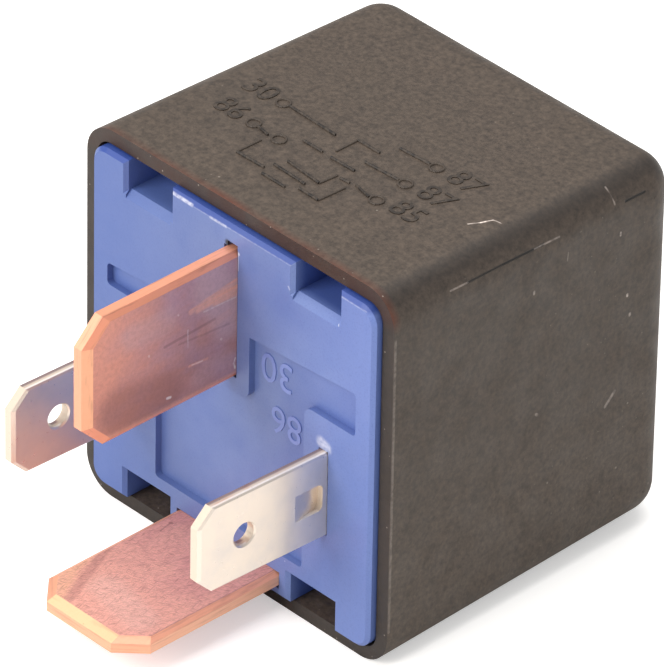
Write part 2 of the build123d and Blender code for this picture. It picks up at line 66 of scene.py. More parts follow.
# nodes and masks
def hexColor(text):
    values = []
    for i in (0, 2, 4):
        c = int(text[i:i + 2], 16) / 255
        values.append(c / 12.92 if c <= 0.04045 else ((c + 0.055) / 1.055) ** 2.4)
    return (*values, 1.0)


def addNode(owner, kind, values=None, **settings):
    tree = owner.id_data  # the owner is the tree, or a socket or node in it
    node = tree.nodes.new(kind)
    for name, value in settings.items():
        setattr(node, name, value)
    for key, value in (values or {}).items():
        if isinstance(value, bpy.types.NodeSocket):
            tree.links.new(value, node.inputs[key])
        else:
            node.inputs[key].default_value = value
    return node


# what a step of a material is made of: its node and settings, its inputs in turn and its output
rampInputs = ("Value", "From Min", "From Max", "To Min", "To Max")
steps = {
    "plus": ("ShaderNodeMath", {"operation": "ADD"}, (0, 1), 0),
    "plusToOne": ("ShaderNodeMath", {"operation": "ADD", "use_clamp": True}, (0, 1), 0),
    "minus": ("ShaderNodeMath", {"operation": "SUBTRACT"}, (0, 1), 0),
    "times": ("ShaderNodeMath", {"operation": "MULTIPLY"}, (0, 1), 0),
    "partOf": ("ShaderNodeMath", {"operation": "DIVIDE", "use_clamp": True}, (0, 1), 0),
    "larger": ("ShaderNodeMath", {"operation": "MAXIMUM"}, (0, 1), 0),
    "unsigned": ("ShaderNodeMath", {"operation": "ABSOLUTE"}, (0,), 0),
    "isUnder": ("ShaderNodeMath", {"operation": "LESS_THAN"}, (0, 1), 0),
    "ramp": ("ShaderNodeMapRange", {"interpolation_type": "LINEAR"}, rampInputs, "Result"),
    "softRamp": ("ShaderNodeMapRange", {"interpolation_type": "SMOOTHSTEP"}, rampInputs, "Result"),
    "mix": ("ShaderNodeMix", {"data_type": "RGBA"}, (0, 6, 7), 2),
    "bump": ("ShaderNodeBump", {}, ("Height", "Distance", "Normal"), 0)}


def step(name, *values):
    kind, settings, inputs, output = steps[name]
    owner = [value for value in values if isinstance(value, bpy.types.NodeSocket)][0]
    return addNode(owner, kind, dict(zip(inputs, values)), **settings).outputs[output]


def tinted(factor, color, tone):
    return step("mix", factor, color, hexColor(tone))


def clouded(field, tone, other):  # a field turned into two tones that pass softly into each other
    return tinted(step("ramp", field, 0.35, 0.65), hexColor(tone), other)


def varied(field, low, high):  # a field of mottling lies mostly between 0.3 and 0.7
    return step("ramp", field, 0.3, 0.7, low, high)


def fade(place, ends, low=0.0, high=1.0):  # from low to high between two places in mm
    return step("ramp", place, ends[0] * mm, ends[1] * mm, low, high)


def perMm(size):
    return 1 / (size * mm)  # texture scale for features of this size


def mottling(coords, size, detail=3.0, rough=0.5, stretch=(1, 1, 1), shift=(0, 0, 0)):
    mapped = addNode(coords, "ShaderNodeMapping", {"Vector": coords, "Location": shift,
                     "Scale": tuple(perMm(size) * s for s in stretch)}).outputs[0]
    return addNode(coords, "ShaderNodeTexNoise", {"Vector": mapped, "Scale": 1.0, "Detail": detail,
                   "Roughness": rough}).outputs[0]


def dots(coords, spacing, dotSize, share, shift=(0, 0, 0)):
    mapped = addNode(coords, "ShaderNodeMapping", {"Vector": coords, "Location": shift,
                     "Scale": (perMm(spacing),) * 3}).outputs[0]
    cells = addNode(coords, "ShaderNodeTexVoronoi", {"Vector": mapped, "Scale": 1.0})
    chance = addNode(coords, "ShaderNodeSeparateColor", {0: cells.outputs["Color"]}).outputs[0]
    near = step("ramp", cells.outputs["Distance"], dotSize / spacing, dotSize / spacing * 0.5)
    return step("times", near, step("isUnder", chance, share))


def segmentGroup():
    tree = bpy.data.node_groups.new("segmentDistance", "ShaderNodeTree")
    for name in ("Point", "Start", "End"):
        tree.interface.new_socket(name, in_out="INPUT", socket_type="NodeSocketVector")
    tree.interface.new_socket("Distance", in_out="OUTPUT", socket_type="NodeSocketFloat")
    given = tree.nodes.new("NodeGroupInput").outputs
    result = tree.nodes.new("NodeGroupOutput").inputs

    def vec(operation, a, b=None, scale=None):
        values = {0: a}
        if b is not None:
            values[1] = b
        if scale is not None:
            values["Scale"] = scale
        return addNode(tree, "ShaderNodeVectorMath", values, operation=operation)

    fromStart = vec("SUBTRACT", given["Point"], given["Start"]).outputs[0]
    whole = vec("SUBTRACT", given["End"], given["Start"]).outputs[0]
    dot = vec("DOT_PRODUCT", fromStart, whole).outputs["Value"]
    square = vec("DOT_PRODUCT", whole, whole).outputs["Value"]
    along = step("partOf", dot, square)
    nearest = vec("SCALE", whole, scale=along).outputs[0]
    away = vec("SUBTRACT", fromStart, nearest).outputs[0]
    tree.links.new(vec("LENGTH", away).outputs["Value"], result["Distance"])
    return tree


segmentTree = segmentGroup()


def scratch(coords, start, end, width):
    ends = {"Point": coords, "Start": [v * mm for v in start], "End": [v * mm for v in end]}
    group = addNode(coords, "ShaderNodeGroup", ends, node_tree=segmentTree)
    return step("softRamp", group.outputs["Distance"], width * mm / 2, width * mm / 6)


def strongest(masks):
    total = masks[0]
    for mask in masks[1:]:
        total = step("larger", total, mask)
    return total


def marks(coords, items):
    return strongest([step("times", scratch(coords, start, end, width), strength)
                      for start, end, width, strength in items])


def placeOf(coords):
    return addNode(coords, "ShaderNodeSeparateXYZ", {0: coords}).outputs


def normalOf(coords):
    normal = addNode(coords, "ShaderNodeNewGeometry").outputs["Normal"]
    return addNode(coords, "ShaderNodeSeparateXYZ", {0: normal}).outputs


def newMaterial(name):
    material = bpy.data.materials.new(name)
    material.use_nodes = True
    tree = material.node_tree
    tree.nodes.clear()
    shader = addNode(tree, "ShaderNodeBsdfPrincipled")
    addNode(tree, "ShaderNodeOutputMaterial", {"Surface": shader.outputs[0]})
    coords = addNode(tree, "ShaderNodeTexCoord").outputs["Object"]
    return material, shader, coords


def feed(shader, **inputs):
    names = {"color": "Base Color", "rough": "Roughness", "metal": "Metallic", "normal": "Normal",
             "specular": "Specular IOR Level"}
    for key, value in inputs.items():
        socket = shader.inputs[names[key]]
        if isinstance(value, bpy.types.NodeSocket):
            shader.id_data.links.new(value, socket)
        else:
            socket.default_value = value


# the cover
# sizes and fades in mm; a dust is spacing, speck, chance and strength
# a mark is from, to, width and strength
coverLook = {
    "tone": "473d34", "toneWarm": "4f4339", "grainDark": "2e2722", "grainLight": "62554a",
    "rimTone": "662f1b", "edgeTone": "1f1a18",
    "dust": "b3a89c", "scratchTone": "f6e6dc", "seamTone": "15100d",
    "grain": 0.36, "grainDepth": 0.02, "grainShare": 0.72, "patch": 5.0, "mottle": 0.9, "waves": 2.2,
    "waveDepth": 0.03, "roughLow": 0.46, "roughHigh": 0.62, "specular": 0.45,
    "roundShade": 0.62, "sideShade": 0.16, "rimShade": 0.6, "mouthShade": 0.72, "mottleShade": 0.4,
    "sideFade": (8.0, 14.0), "rimFade": (-5.2, -5.8), "upperFade": (25.5, 26.5), "rimDustFade": (-4.7, -5.6),
    "bigDust": (1.9, 0.1, 0.24, 0.3), "smallDust": (0.8, 0.06, 0.2, 0.22), "rimDust": (0.55, 0.07, 0.3, 0.5),
    "seamDepth": 0.12,
    "brightMarks": [
        (onTop(10.6, 3.56), onTop(11.1, 4.44), 0.15, 0.55),
        (onTop(11.0, 4.25), onTop(11.2, 4.8), 0.18, 0.95),
        (onTop(11.2, 4.8), onTop(11.3, 5.05), 0.13, 0.7),
        (onTop(11.3, 5.05), onTop(12.0, 5.25), 0.14, 0.4),
        (onSide(13.47, 27.2), onSide(13.59, 26.25), 0.2, 0.2),
        (onSide(14.0, 24.05), onSide(14.0, 23.85), 0.22, 0.4),
        (onSide(14.84, 19.0), onSide(14.84, 18.9), 0.26, 0.6),
        (onSide(15.14, 17.4), onSide(15.14, 17.3), 0.3, 0.3),
        (onSide(6.35, 23.1), onSide(6.35, 22.95), 0.26, 0.25),
        (onSide(9.31, 24.7), onSide(9.25, 24.1), 0.12, 0.15),
        (onSide(13.2, 11.2), onSide(14.0, 12.0), 0.35, 0.2),
        (onSide(6.9, 13.6), onSide(7.0, 13.5), 0.3, 0.2),
        (onSide(-5.75, 25.0), onSide(-5.75, 3.0), 0.3, 0.12),
        (onSide(-0.9, 26.43), onSide(0.6, 26.38), 0.18, 0.2),
        (onSide(6.4, 26.22), onSide(8.6, 26.14), 0.18, 0.22)],
    "seamMarks": [
        (onSide(0.6, 26.38), onSide(3.6, 26.32), 0.19, 0.9),
        (onSide(3.6, 26.32), onSide(7.2, 26.2), 0.2, 1.0),
        (onSide(14.5, 26.1), onSide(16.2, 26.05), 0.22, 1.0)]}


def coverTone(coords, grain, waves):
    look = coverLook
    patch = mottling(coords, look["patch"], 3.0)
    color = clouded(patch, look["tone"], look["toneWarm"])
    grainy = tinted(step("ramp", grain, 0.32, 0.68), hexColor(look["grainDark"]), look["grainLight"])
    color = step("mix", look["grainShare"], color, grainy)
    mottle = mottling(coords, look["mottle"], 4.0, 0.65, shift=(7, 2, 5))
    color = tinted(step("ramp", mottle, 0.48, 0.3, 0.0, look["mottleShade"]), color, look["grainDark"])
    y, z = placeOf(coords)[1:]
    turn = normalOf(coords)
    leaning = step("times", step("softRamp", turn[0], 0.12, 0.5), step("softRamp", turn[0], 0.95, 0.62))
    roundEdge = step("times", leaning, step("ramp", turn[2], 0.15, 0.4))
    color = tinted(step("times", roundEdge, look["roundShade"]), color, look["edgeTone"])  # painted shade: a dark reflection along the round edge
    side = step("times", step("ramp", turn[0], 0.7, 0.9), fade(z, look["sideFade"], high=look["sideShade"]))
    color = tinted(side, color, look["edgeTone"])  # painted shade: the right face darker than the top
    rim = step("times", fade(y, look["rimFade"]), step("ramp", waves, 0.35, 0.6, 0.4, 1.0))
    upper = step("times", rim, fade(z, look["upperFade"]))  # a brown band along the upper rim
    color = tinted(step("times", upper, look["rimShade"]), color, look["rimTone"])
    mouth = step("ramp", turn[1], -0.7, -0.95)  # the rim itself, darkened: painted shade and dirt
    return tinted(step("times", mouth, look["mouthShade"]), color, look["edgeTone"])


def dustOf(coords, dust, shift=(0, 0, 0)):
    spacing, speck, chance, strength = dust
    return step("times", dots(coords, spacing, speck, chance, shift), strength)


def coverDust(coords):
    look = coverLook
    y = placeOf(coords)[1]
    big = dustOf(coords, look["bigDust"])
    small = dustOf(coords, look["smallDust"], (4, 7, 1))
    rim = dustOf(coords, look["rimDust"], (1, 5, 9))  # specks sit on the rim
    rim = step("times", rim, fade(y, look["rimDustFade"]))
    return step("larger", step("plusToOne", big, small), rim)


def coverMaterial():
    # spark-eroded polyamide: a fine grain, semi-matte, a little dusty
    look = coverLook
    material, shader, coords = newMaterial("coverPlastic")
    grain = mottling(coords, look["grain"], 5.0, 0.72)  # coarser than the real 0.1 mm, so that it shows
    waves = mottling(coords, look["waves"], 2.0, 0.5, shift=(3, 1, 2))
    color = coverTone(coords, grain, waves)
    color = tinted(coverDust(coords), color, look["dust"])
    seam = marks(coords, look["seamMarks"])
    color = tinted(seam, color, look["seamTone"])
    ragged = step("ramp", mottling(coords, 0.3, 2.0), 0.35, 0.6, 0.35, 1.0)
    bright = step("times", marks(coords, look["brightMarks"]), ragged)
    color = tinted(bright, color, look["scratchTone"])
    rough = varied(waves, look["roughLow"], look["roughHigh"])
    rough = step("plus", rough, varied(grain, -0.05, 0.05))
    normal = step("bump", grain, look["grainDepth"] * mm)
    normal = step("bump", waves, look["waveDepth"] * mm, normal)
    normal = step("bump", step("minus", 0.0, seam), look["seamDepth"] * mm, normal)
    feed(shader, color=color, rough=rough, normal=normal, specular=look["specular"])
    return material


# the base
baseLook = {
    "tone": "5c70a8", "toneLight": "687bae", "paintedShadeLeft": "5168a6", "paintedSheenRight": "667bb9",
    "toneDeep": "4a5c98", "shade": "1b3a8a", "dust": "c9cde2", "holeShadeTone": "141118", "rubAndHighlightTone": "e9eaf2",
    "grain": 0.12, "grainDepth": 0.005, "patch": 4.0, "waves": 2.5, "waveDepth": 0.02, "rough": 0.42,
    "specular": 0.5, "leftShare": 0.9, "rightShare": 0.8, "grainShade": 0.3, "gapShade": 0.75,
    "deepShade": 0.6, "leftFade": (1.0, -11.0), "rightFade": (3.0, 12.0), "gapFade": (26.4, 26.65),
    "deepFade": (-6.3, -5.4), "deepSideFade": (4.0, 5.0), "fineDust": (1.3, 0.07, 0.2, 0.5),
    # rubbed places, and painted highlights along the pads' edges
    "rubAndHighlightMarks": [
        ((-5.55, -6.5, 26.7), (-3.6, -6.5, 26.65), 0.34, 0.55),
        ((-5.6, -6.5, 26.8), (-5.6, -6.5, 25.5), 0.16, 0.5),
        ((-1.95, -6.52, 26.6), (-0.5, -6.52, 26.6), 0.26, 0.4),
        ((-5.6, -6.52, 26.64), (5.6, -6.52, 26.64), 0.14, 0.15),
        ((9.75, -6.5, 26.64), (12.2, -6.5, 26.6), 0.16, 0.2),
        ((9.72, -6.5, 26.6), (9.72, -6.5, 24.9), 0.14, 0.3),
        ((5.2, -6.52, 25.0), (5.3, -6.52, 24.85), 0.2, 0.5),
        ((9.58, -6.52, 24.6), (9.7, -6.52, 24.4), 0.26, 0.6),
        ((8.4, -6.52, 14.95), (8.9, -6.52, 14.8), 1.2, 0.45),
        ((8.6, -6.52, 14.85), (8.9, -6.52, 14.75), 0.5, 0.5),
        ((0.2, -6.5, 25.5), (0.7, -6.5, 25.15), 0.3, 0.55),
        ((0.68, -6.5, 25.1), (0.68, -6.5, 23.9), 0.12, 0.45)],
    "holeShadeMarks": [((-0.3, -6.52, 25.5), (0.08, -6.52, 25.45), 0.72, 0.95)]}


def baseTone(coords, grain):
    look = baseLook
    x, y, z = placeOf(coords)
    patch = mottling(coords, look["patch"], 3.0)
    color = clouded(patch, look["tone"], look["toneLight"])
    # painted shade towards the left and a painted sheen towards the right
    color = tinted(fade(x, look["leftFade"], high=look["leftShare"]), color, look["paintedShadeLeft"])
    color = tinted(fade(x, look["rightFade"], high=look["rightShare"]), color, look["paintedSheenRight"])
    color = tinted(step("ramp", grain, 0.5, 0.3, 0.0, look["grainShade"]), color, look["toneDeep"])
    up = step("ramp", normalOf(coords)[2], 0.35, 0.6)
    gap = step("times", up, fade(z, look["gapFade"]))  # painted shade on the up-facing faces in the gap under the rim
    color = tinted(step("times", gap, look["gapShade"]), color, look["shade"])
    # painted shade deep in the notch on the right
    deep = step("times", fade(y, look["deepFade"]), fade(x, look["deepSideFade"]))
    return tinted(step("times", deep, look["deepShade"]), color, look["shade"])


def baseMaterial():
    # smooth moulded polybutylene terephthalate, a soft sheen
    look = baseLook
    material, shader, coords = newMaterial("basePlastic")
    grain = mottling(coords, look["grain"], 3.0, 0.6)
    color = baseTone(coords, grain)
    color = tinted(dustOf(coords, look["fineDust"]), color, look["dust"])
    # painted shade: a dark spot where a slot's end lies open
    color = tinted(marks(coords, look["holeShadeMarks"]), color, look["holeShadeTone"])
    ragged = step("ramp", mottling(coords, 0.3, 3.0, 0.6), 0.34, 0.6, 0.4, 1.0)
    rubsAndHighlights = step("times", marks(coords, look["rubAndHighlightMarks"]), ragged)
    color = tinted(rubsAndHighlights, color, look["rubAndHighlightTone"])
    rough = varied(mottling(coords, 1.2, 2.0), look["rough"] - 0.06, look["rough"] + 0.08)
    rough = step("plus", rough, step("times", rubsAndHighlights, 0.25))  # rubbed places and the painted edge highlights are duller
    normal = step("bump", grain, look["grainDepth"] * mm)
    normal = step("bump", mottling(coords, look["waves"], 1.0), look["waveDepth"] * mm, normal)
    feed(shader, color=color, rough=rough, normal=normal, specular=look["specular"])
    return material


# the wide blades
# marks in mm as before: bare metal, dark film, pale bloom and bright nicks; on the upright blade the broad
# dark marks are painted shade, the broad pale ones painted light, and one long nick a painted highlight
copperLook30 = {
    "bare": "f3a993", "film": "cca0a7", "filmWarm": "cc968d", "edge": "f9ab88", "smear": "ffba9c",
    "front": "faab8a", "tip": "fbb991", "side": "f3a080", "dark": "6a4140", "pale": "dcb4b4",
    "thin": 0, "long": 2, "root": 0.34, "streak": 0.16, "filmLow": 0.2, "filmHigh": 0.48,
    "rough": 0.42, "metal": 0.5, "brush": 0.003, "hatch": 0.0,
    "bareMarks": [
        (on30(-10.4, 22.55), on30(-6.6, 23.15), 0.65, 0.75),
        (on30(-9.8, 22.5), on30(-6.6, 22.65), 0.9, 0.85),
        (on30(-8.4, 22.3), on30(-6.6, 22.25), 0.65, 0.75),
        (on30(-10.5, 18.5), on30(-9.0, 18.4), 0.3, 0.6),
        (on30(-17.6, 16.1), on30(-6.8, 16.05), 0.95, 0.65),
        (on30(-9.6, 20.6), on30(-7.2, 21.0), 0.9, 0.2)],
    "darkMarks": [
        (on30(-12.6, 20.9), on30(-8.4, 21.1), 0.3, 0.3),
        (on30(-11.4, 20.55), on30(-7.2, 20.2), 0.24, 0.22),
        # painted shade: these two broad soft marks darken the lower tip
        (on30(-16.4, 17.9), on30(-12.8, 17.3), 5.2, 0.36),
        (on30(-12.0, 18.2), on30(-10.5, 18.4), 3.0, 0.1),
        ((0.36, -12.0, 25.28), (0.36, -6.6, 25.28), 0.2, 0.5)],
    # painted light: broad pale marks that brighten the root and the upper tip
    "paleMarks": [
        (on30(-15.2, 22.9), on30(-12.6, 22.7), 3.0, 0.35),
        (on30(-8.6, 24.0), on30(-7.0, 20.6), 4.5, 0.75), (on30(-9.6, 17.4), on30(-7.4, 17.6), 2.4, 0.3)],
    "nickAndHighlightMarks": [
        (on30(-10.66, 21.3), on30(-10.64, 20.0), 0.18, 0.3),
        (on30(-10.3, 18.5), on30(-9.4, 18.42), 0.13, 0.45),
        (on30(-9.3, 22.05), on30(-6.62, 21.95), 0.18, 0.35),
        (on30(-6.62, 17.35), on30(-6.75, 17.0), 0.16, 0.9),
        (on30(-6.75, 17.0), on30(-6.62, 16.6), 0.2, 0.95),
        (on30(-12.35, 16.95), on30(-12.1, 16.9), 0.3, 0.75),
        (on30(-13.92, 20.86), on30(-13.9, 20.8), 0.22, 0.35),
        (on30(-7.85, 19.36), on30(-7.8, 19.3), 0.24, 0.4),
        (on30(-11.5, 22.8), on30(-11.45, 22.75), 0.18, 0.35),
        # a painted highlight along the top edge
        ((-0.55, -17.6, 25.3), (-0.55, -8.5, 25.3), 0.3, 0.5)]}
copperLook87 = {
    "bare": "fbb9a6", "film": "eaa49c", "filmWarm": "f4b1a4", "edge": "fcc3a0", "smear": "fcc3a0",
    "front": "f6b28e", "tip": "f8cf9f", "side": "f2ab8a", "dark": "8d5654", "pale": "fcd0c0",
    "thin": 2, "long": 0, "root": 0.34, "streak": 0.12, "filmLow": 0.3, "filmHigh": 0.62,
    "rough": 0.5, "metal": 0.45, "brush": 0.003, "hatch": 0.5,
    "bareMarks": [
        (on87(-4.9, -13.8), on87(-4.0, -17.0), 1.5, 0.95),
        (on87(-4.3, -16.4), on87(-3.1, -18.4), 2.2, 0.95)],
    "darkMarks": [
        (on87(-4.56, -12.6), on87(-2.05, -18.1), 1.0, 0.3),
        (on87(-3.8, -7.95), on87(-3.75, -7.9), 0.34, 0.6),
        (on87(-3.8, -7.9), on87(-3.6, -9.0), 0.14, 0.4), (on87(4.38, -17.3), on87(4.38, -6.6), 0.34, 0.4)],
    "paleMarks": [(on87(-1.5, -15.6), on87(2.6, -16.4), 3.4, 0.35)], "nickAndHighlightMarks": []}
copperShared = {"edgeShare": 0.85, "lineShare": 0.28, "fineShare": 0.2, "nickAndHighlightTone": "fff1e8",
                "lineStretch": 7.0, "cloud": 3.4, "fine": 0.3, "fineDepth": 0.004, "hatchDepth": 0.01,
                "rootFade": (-19.5, -9.5), "pits": (1.7, 0.08, 0.3, 0.4),
                # the brushing's angle in degrees, size and shift
                "hatchTurns": ((48, 0.07, 2), (22, 0.08, 5), (-14, 0.1, 9), (75, 0.07, 13))}


def edgeTone(color, look, coords):
    turn = normalOf(coords)
    flat = step("unsigned", turn[look["thin"]])
    edge = step("ramp", flat, 0.985, 0.95)
    bevel = step("times", edge, step("ramp", flat, 0.3, 0.5))
    tip = step("ramp", turn[1], -0.15, -0.28)
    tip = step("times", tip, step("ramp", step("unsigned", turn[look["long"]]), 0.2, 0.1))
    front = step("ramp", turn[1], -0.4, -0.65)
    # painted highlights: the bevels, the front and the tip get lighter tones by the way they face
    beside = tinted(bevel, hexColor(look["edge"]), look["side"])
    rim = tinted(front, tinted(tip, beside, look["tip"]), look["front"])
    color = step("mix", step("times", edge, copperShared["edgeShare"]), color, rim)
    across = [0.3, 0.3, 0.3]
    across[look["thin"]] = copperShared["lineStretch"]
    lines = step("ramp", mottling(coords, 1.0, 3.0, 0.6, stretch=across), 0.52, 0.68)  # lines the punch left
    color = tinted(step("times", step("times", edge, lines), copperShared["lineShare"]), color, look["dark"])
    return color, edge


def hatching(coords, edge):
    fields = []
    for angle, size, shift in copperShared["hatchTurns"]:
        turned = addNode(coords, "ShaderNodeVectorRotate", {"Vector": coords, "Angle": math.radians(angle)},
                         rotation_type="Z_AXIS").outputs[0]
        field = mottling(turned, size, 2.0, 0.6, stretch=(1.0, 0.1, 1), shift=(shift, 0, 0))
        fields.append(step("ramp", field, 0.52, 0.72))
    return step("times", strongest(fields), step("minus", 1.0, edge))


def copperMaterial(name, look):
    # rolled copper strip, punched: warm bare metal under a thin film of tarnish
    material, shader, coords = newMaterial(name)
    streaks = mottling(coords, look["streak"], 3.0, 0.6, stretch=(1, 0.04, 1))
    cloud = mottling(coords, copperShared["cloud"], 3.0, 0.5, stretch=(1, 0.8, 1))
    fine = mottling(coords, copperShared["fine"], 5.0, 0.75)
    y = placeOf(coords)[1]
    root = step("times", fade(y, copperShared["rootFade"]), look["root"])
    cover = step("plus", step("times", cloud, 0.3), root)
    film = step("softRamp", cover, look["filmLow"], look["filmHigh"])
    film = step("times", film, step("ramp", streaks, 0.6, 0.75, 1.0, 0.75))
    tint = tinted(step("ramp", cloud, 0.4, 0.6), hexColor(look["filmWarm"]), look["film"])
    color = step("mix", film, hexColor(look["bare"]), tint)
    color = tinted(marks(coords, look["paleMarks"]), color, look["pale"])
    color = tinted(marks(coords, look["darkMarks"]), color, look["dark"])
    bare = step("times", marks(coords, look["bareMarks"]), step("ramp", streaks, 0.34, 0.6, 0.45, 1.0))
    color = tinted(bare, color, look["smear"])
    color = tinted(step("ramp", fine, 0.6, 0.3, 0.0, copperShared["fineShare"]), color, look["dark"])
    color, edge = edgeTone(color, look, coords)
    rough = varied(streaks, look["rough"] - 0.06, look["rough"] + 0.1)
    normal = step("bump", streaks, look["brush"] * mm)
    normal = step("bump", fine, copperShared["fineDepth"] * mm, normal)
    if look["hatch"]:  # brushed both ways by hand
        lines = hatching(coords, edge)
        color = tinted(step("times", lines, look["hatch"]), color, look["dark"])
        normal = step("bump", step("minus", 0.0, lines), copperShared["hatchDepth"] * mm, normal)
    color = tinted(dustOf(coords, copperShared["pits"], (3, 3, 3)), color, look["dark"])
    if look["nickAndHighlightMarks"]:
        ragged = step("ramp", mottling(coords, 0.25, 2.0), 0.36, 0.55, 0.4, 1.0)
        nicksAndHighlight = step("times", marks(coords, look["nickAndHighlightMarks"]), ragged)
        color = tinted(nicksAndHighlight, color, copperShared["nickAndHighlightTone"])
    feed(shader, color=color, rough=rough, metal=look["metal"], normal=normal)
    return material


# the narrow blades
tinLook = {"bare": "f4e6d8", "grey": "dcd5d2", "edge": "d6c6b4", "cut": "c98f7c", "paintedShadeHalf": "6d5460",
           "paintedHighlightHalf": "fffaf4", "rough": 0.3, "metal": 0.88, "edgeMetal": 0.3, "edgeShare": 0.85,
           "upperShare": 0.75,
           "cutFade": (-9.5, -13.0), "cutLow": 0.1, "cutHigh": 0.55, "paintedShadeFade": (0.02, -0.12),
           "paintedHighlightFade": (0.08, 0.2),  # these two from the blade's middle
           # a blade's middle is x = centre + lean * y in mm
           "lean": 0.0401, "centre85": -8.34, "centre86": 8.86}


def tinMaterial(name, centre):
    # tin plated brass, bright and satin, its plating thin on the sheared edges
    look = tinLook
    material, shader, coords = newMaterial(name)
    cloud = mottling(coords, 2.0, 3.0)
    fine = mottling(coords, 0.4, 4.0, 0.7)
    color = tinted(step("ramp", cloud, 0.45, 0.75, 0.0, 0.5), hexColor(look["bare"]), look["grey"])
    turn = normalOf(coords)
    x, y = placeOf(coords)[:2]
    edge = step("ramp", step("unsigned", turn[0]), 0.75, 0.4)
    color = tinted(step("times", edge, look["edgeShare"]), color, look["edge"])
    patchy = step("ramp", mottling(coords, 0.6, 3.0, stretch=(1, 0.3, 1)), 0.46, 0.62)
    patchy = step("times", patchy, fade(y, look["cutFade"], look["cutLow"], look["cutHigh"]))
    top = step("ramp", turn[2], 0.9, 0.98)
    color = tinted(step("times", patchy, top), color, look["cut"])
    aside = step("minus", x, step("times", y, look["lean"]))
    upper = step("times", top, look["upperShare"])  # painted shade on the far half of the top face and a painted highlight on its near half
    paintedShadeHalf = step("times", upper, fade(aside, [centre + end for end in look["paintedShadeFade"]]))
    paintedHighlightHalf = step("times", upper, fade(aside, [centre + end for end in look["paintedHighlightFade"]]))
    color = tinted(paintedHighlightHalf, tinted(paintedShadeHalf, color, look["paintedShadeHalf"]), look["paintedHighlightHalf"])
    rough = varied(fine, look["rough"] - 0.03, look["rough"] + 0.05)
    metal = step("ramp", edge, 0.0, 1.0, look["metal"], look["edgeMetal"])
    normal = step("bump", mottling(coords, 1.5, 2.0), 0.01 * mm)
    feed(shader, color=color, rough=rough, metal=metal, normal=normal)
    return material


# the pieces inside
# each is a material slot with its material's name; turns and weave are the wires' spacing in mm
metalLooks = {
    "magnet_steel": {"name": "magnetSteel", "bare": "b4b1a9", "other": "96948e", "grain": 0.3,
                     "rough": 0.36},  # zinc plated soft iron, cloudy grey
    "rivet_steel": {"name": "rivetSteel", "bare": "bdbcb9", "other": "8f8e8c", "grain": 0.2,
                    "rough": 0.3},  # zinc plated, headed cold
    "spring_bronze": {"name": "springBronze", "bare": "d0a06c", "other": "b3824f", "grain": 0.25,
                      "rough": 0.26},  # rolled bronze strip, warm and bright
    "spring_steel": {"name": "springSteel", "bare": "a9a9ab", "other": "86868a", "grain": 0.25,
                     "rough": 0.24},  # rolled stainless strip
    "contact_silver": {"name": "contactSilver", "bare": "e2e0da", "other": "b8b4ac", "grain": 0.15,
                       "rough": 0.2},  # silver alloy, headed and polished
    "braid_copper": {"name": "braidCopper", "bare": "c9825f", "other": "a1603f", "grain": 0.1, "rough": 0.35,
                     "weave": 0.42},  # fine wires woven flat, drawn coarser so that they show
    "bracket_steel": {"name": "bracketSteel", "bare": "b6b5b2", "other": "92918e", "grain": 0.3,
                      "rough": 0.34},  # zinc plated strip, bent
    "lead_tin": {"name": "leadTin", "bare": "d9d7d1", "other": "aeaca6", "grain": 0.15,
                 "rough": 0.28},  # tinned wire
    "magnet_wire": {"name": "magnetWire", "bare": "b4562a", "other": "8c3b1b", "grain": 0.12, "rough": 0.3,
                    "turns": 0.24},  # enamelled copper wire, wound turn by turn
}
plasticLooks = {
    "bobbin_plastic": {"name": "bobbinPlastic", "tone": "dcd8ca", "other": "cfc9b8", "grain": 0.2,
                       "rough": 0.5},  # natural polyamide, milky
    "resistor_coat": {"name": "resistorCoat", "tone": "6f9aa0", "other": "5f868c", "grain": 0.25,
                      "rough": 0.3},  # dipped lacquer
}
wireGap = {"tone": "2c1409", "share": 0.7, "depth": 0.06}  # painted shade in the groove between two wires


def ribs(coords, pitch, direction, side=1):
    mapped = addNode(coords, "ShaderNodeMapping", {"Vector": coords, "Scale": (side, 1, 1)}).outputs[0]
    scale = 0.314 / (pitch * mm)  # a wave's length is 0.314 over its scale
    wave = addNode(coords, "ShaderNodeTexWave", {"Vector": mapped, "Scale": scale}, bands_direction=direction)
    return wave.outputs[1]


def plainMetal(look):
    material, shader, coords = newMaterial(look["name"])
    fine = mottling(coords, look["grain"], 3.0, 0.6, stretch=(1, 0.25, 1))
    cloud = mottling(coords, 2.0, 3.0)
    color = clouded(cloud, look["bare"], look["other"])
    rough = varied(fine, look["rough"] - 0.08, look["rough"] + 0.1)
    normal = step("bump", fine, 0.004 * mm)
    wire = None
    if "turns" in look:
        wire = ribs(coords, look["turns"], "Y")
    elif "weave" in look:
        wire = strongest([ribs(coords, look["weave"], "DIAGONAL", side) for side in (1, -1)])
    if wire:
        # painted shade between the wires
        color = tinted(step("ramp", wire, 0.4, 0.0, 0.0, wireGap["share"]), color, wireGap["tone"])
        normal = step("bump", wire, wireGap["depth"] * mm, normal)
    feed(shader, color=color, rough=rough, metal=1.0, normal=normal)
    return material


def plainPlastic(look):
    material, shader, coords = newMaterial(look["name"])
    fine = mottling(coords, look["grain"], 3.0, 0.6)
    cloud = mottling(coords, 2.5, 3.0)
    color = clouded(cloud, look["tone"], look["other"])
    rough = varied(fine, look["rough"] - 0.06, look["rough"] + 0.08)
    feed(shader, color=color, rough=rough, normal=step("bump", fine, 0.005 * mm))
    return material


finish = {"cover_plastic": coverMaterial(), "base_plastic": baseMaterial(),
          "copper_30": copperMaterial("copperBlade30", copperLook30),
          "copper_87": copperMaterial("copperBlade87", copperLook87),
          "tinned_85": tinMaterial("tinnedBlade85", tinLook["centre85"]),
          "tinned_86": tinMaterial("tinnedBlade86", tinLook["centre86"])}
for slot, look in metalLooks.items():
    finish[slot] = plainMetal(look)
for slot, look in plasticLooks.items():
    finish[slot] = plainPlastic(look)
for part in frame["record"]["subparts"]:
    mesh = nodes[part["node"]].data
    mesh.materials.clear()
    mesh.materials.append(finish[part["material_slot"]])
print("materials made")

